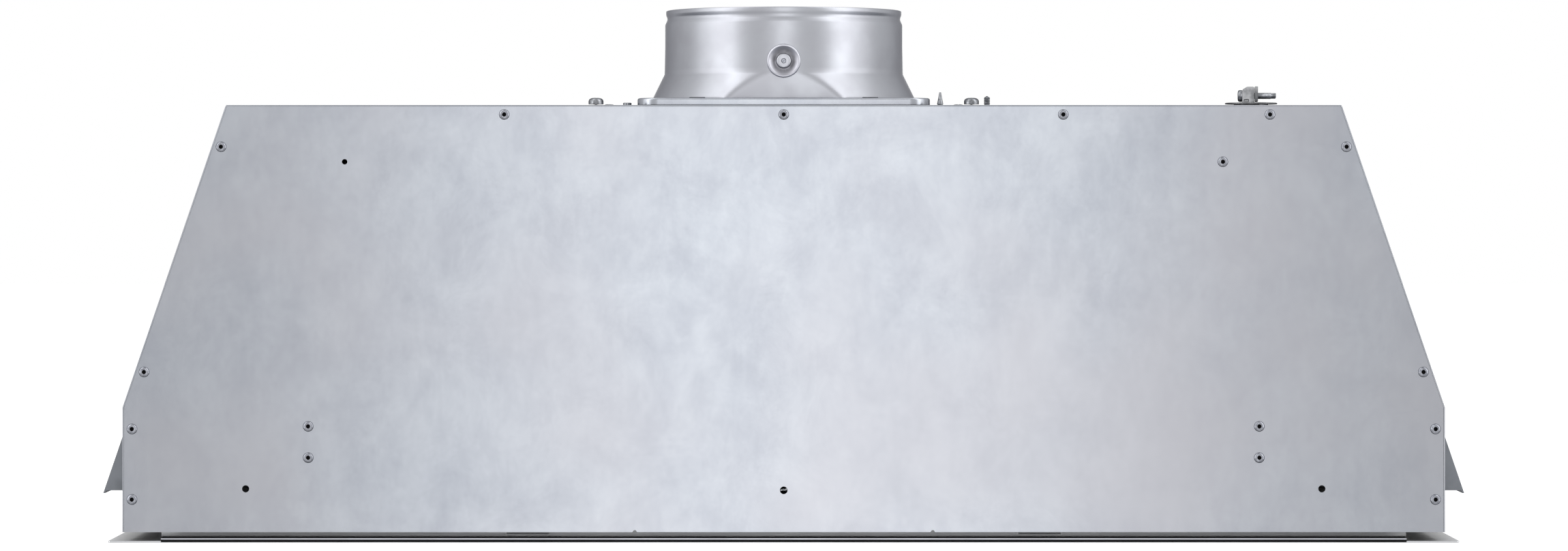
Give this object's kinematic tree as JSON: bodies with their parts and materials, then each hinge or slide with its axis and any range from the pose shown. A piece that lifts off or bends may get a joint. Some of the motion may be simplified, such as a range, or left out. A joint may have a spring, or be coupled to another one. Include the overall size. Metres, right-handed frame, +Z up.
{
  "type": "range hood insert",
  "caption": "Sheet-steel range hood insert with slanted sides, top duct collar with damper flaps, sprung side wings, baffle filters, blower and push buttons.",
  "frame": {"origin": "centre of the flange underside, below the duct collar axis", "axes": "+X along the width (viewer right), +Y from the front panel towards the rear panel, +Z up along the duct collar"},
  "size_m": [0.8408, 0.2712, 0.3272],
  "materials": {
    "galvanised_steel": "galvanised, fine spangle",
    "collar_steel": "galvanised, drawn",
    "stainless_steel": "fine brushed",
    "rivet_steel": "bright zinc",
    "zinc_steel": "bright zinc",
    "spring_steel": "dark oiled spring steel",
    "clamp_zinc": "die cast zinc",
    "wheel_steel": "galvanised",
    "motor_paint": "satin black",
    "bearing_bronze": "sintered bronze",
    "bush_steel": "zinc",
    "seal_foam": "closed-cell foam",
    "black_plastic": "moulded, matt",
    "capacitor_case": "drawn",
    "board": "circuit board",
    "lamp_metal": "satin",
    "lens": "frosted"
  },
  "bodies": {
    "housing": {"base_tray": "stainless_steel", "blower_carrier": "galvanised_steel", "cable_clamp": "clamp_zinc", "cable_clamp_jaw": "clamp_zinc", "cable_clamp_locknut": "clamp_zinc", "cable_clamp_screws": "zinc_steel", "capacitor": "capacitor_case", "capacitor_clip": "capacitor_case", "control_bezel": "black_plastic", "control_box": "galvanised_steel", "damper_spindle": "rivet_steel", "duct_collar": "collar_steel", "flange_seal": "seal_foam", "front_panel": "galvanised_steel", "inlet_ring": "galvanised_steel", "inner_screws": "zinc_steel", "lamp_boards": "board", "lamp_clips": "spring_steel", "led_driver": "black_plastic", "left_lamp_housing": "lamp_metal", "left_lamp_lens": "lens", "left_scroll_side": "galvanised_steel", "left_side_panel": "galvanised_steel", "motor_bearings": "bearing_bronze", "motor_bracket": "galvanised_steel", "motor_housing": "motor_paint", "panel_rivets": "rivet_steel", "rear_panel": "galvanised_steel", "right_lamp_housing": "lamp_metal", "right_lamp_lens": "lens", "right_scroll_side": "galvanised_steel", "right_side_panel": "galvanised_steel", "scroll_wrapper": "galvanised_steel", "spindle_bushes": "bush_steel", "switch_board": "board", "top_panel": "galvanised_steel", "top_screws": "zinc_steel", "tray_screws": "zinc_steel", "tray_straps": "galvanised_steel", "wing_pins": "zinc_steel", "wing_springs": "spring_steel", "wiring_box": "galvanised_steel", "wiring_cover": "galvanised_steel"},
    "right_wing": {"right_wing": "spring_steel"},
    "left_wing": {"left_wing": "spring_steel"},
    "right_damper_flap": {"right_damper_flap": "collar_steel"},
    "left_damper_flap": {"left_damper_flap": "collar_steel"},
    "blower_rotor": {"blower_wheel": "wheel_steel", "motor_shaft": "zinc_steel"},
    "right_filter": {"right_filter_frame": "stainless_steel", "right_filter_baffles": "stainless_steel"},
    "left_filter": {"left_filter_frame": "stainless_steel", "left_filter_baffles": "stainless_steel"},
    "right_filter_catch": {"right_filter_catch": "stainless_steel"},
    "left_filter_catch": {"left_filter_catch": "stainless_steel"},
    "light_button": {"light_button": "black_plastic"},
    "off_button": {"off_button": "black_plastic"},
    "low_button": {"low_button": "black_plastic"},
    "medium_button": {"medium_button": "black_plastic"},
    "high_button": {"high_button": "black_plastic"}
  },
  "joints": [
    {"name": "right_wing_fold", "type": "hinge", "parent": "housing", "child": "right_wing", "pos_m": [0.3965, 0, 0.077], "axis": [0, 1, 0], "range_deg": [0, 20], "stiffness_Nm_per_rad": 0.4, "springref_deg": -20.05},
    {"name": "right_flap_swing", "type": "hinge", "parent": "housing", "child": "right_damper_flap", "pos_m": [0, 0, 0.2935], "axis": [0, -1, 0], "range_deg": [0, 80]},
    {"name": "right_filter_swing", "type": "hinge", "parent": "housing", "child": "right_filter", "pos_m": [0.157, 0.0986, 0.005], "axis": [1, 0, 0], "range_deg": [0, 55]},
    {"name": "right_catch_slide", "type": "slide", "parent": "right_filter", "child": "right_filter_catch", "axis": [0, 1, 0], "range_m": [0, 0.004], "stiffness_N_per_m": 250, "springref_m": -0.004},
    {"name": "left_wing_fold", "type": "hinge", "parent": "housing", "child": "left_wing", "pos_m": [-0.3965, 0, 0.077], "axis": [0, -1, 0], "range_deg": [0, 20], "stiffness_Nm_per_rad": 0.4, "springref_deg": -20.05},
    {"name": "left_flap_swing", "type": "hinge", "parent": "housing", "child": "left_damper_flap", "pos_m": [0, 0, 0.2935], "axis": [0, 1, 0], "range_deg": [0, 80]},
    {"name": "left_filter_swing", "type": "hinge", "parent": "housing", "child": "left_filter", "pos_m": [-0.157, 0.0986, 0.005], "axis": [1, 0, 0], "range_deg": [0, 55]},
    {"name": "left_catch_slide", "type": "slide", "parent": "left_filter", "child": "left_filter_catch", "axis": [0, 1, 0], "range_m": [0, 0.004], "stiffness_N_per_m": 250, "springref_m": -0.004},
    {"name": "blower_spin", "type": "hinge", "parent": "housing", "child": "blower_rotor", "pos_m": [0, 0.03, 0.128], "axis": [1, 0, 0], "continuous": true},
    {"name": "light_button_press", "type": "slide", "parent": "housing", "child": "light_button", "axis": [0, 0, 1], "range_m": [0, 0.0025], "stiffness_N_per_m": 400, "springref_m": -0.0015},
    {"name": "off_button_press", "type": "slide", "parent": "housing", "child": "off_button", "axis": [0, 0, 1], "range_m": [0, 0.0025], "stiffness_N_per_m": 400, "springref_m": -0.0015},
    {"name": "low_button_press", "type": "slide", "parent": "housing", "child": "low_button", "axis": [0, 0, 1], "range_m": [0, 0.0025], "stiffness_N_per_m": 400, "springref_m": -0.0015},
    {"name": "medium_button_press", "type": "slide", "parent": "housing", "child": "medium_button", "axis": [0, 0, 1], "range_m": [0, 0.0025], "stiffness_N_per_m": 400, "springref_m": -0.0015},
    {"name": "high_button_press", "type": "slide", "parent": "housing", "child": "high_button", "axis": [0, 0, 1], "range_m": [0, 0.0025], "stiffness_N_per_m": 400, "springref_m": -0.0015}
  ]
}
